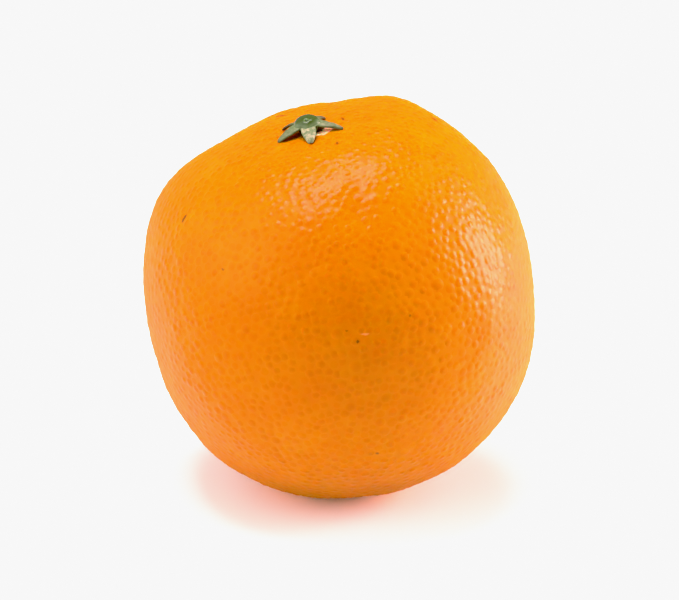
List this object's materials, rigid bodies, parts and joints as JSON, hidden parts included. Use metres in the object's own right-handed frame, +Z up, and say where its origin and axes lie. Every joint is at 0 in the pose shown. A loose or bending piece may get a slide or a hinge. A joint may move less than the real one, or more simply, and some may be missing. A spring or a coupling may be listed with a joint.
{
  "type": "orange",
  "caption": "Whole fresh orange with a green calyx and clipped stem stub, resting on the small flat under it.",
  "frame": {"origin": "on the surface the orange stands on, under the middle of its bounding box", "axes": "+Z up as the orange rests, -Y towards the viewer of its best side; the core leans 9.5 degrees to -X and 7.5 degrees to -Y, so the calyx is on top, left of the middle"},
  "size_m": [0.0758, 0.0764, 0.076],
  "materials": {
    "orange_skin": "waxy orange rind pebbled by oil glands",
    "green_sepals": "dull olive green, half dry, browner at the tips",
    "green_stem": "dark green, smooth and a little glossy"
  },
  "bodies": {
    "root": {"fruit": "orange_skin", "calyx": "green_sepals", "stem_stub": "green_stem"}
  },
  "joints": []
}
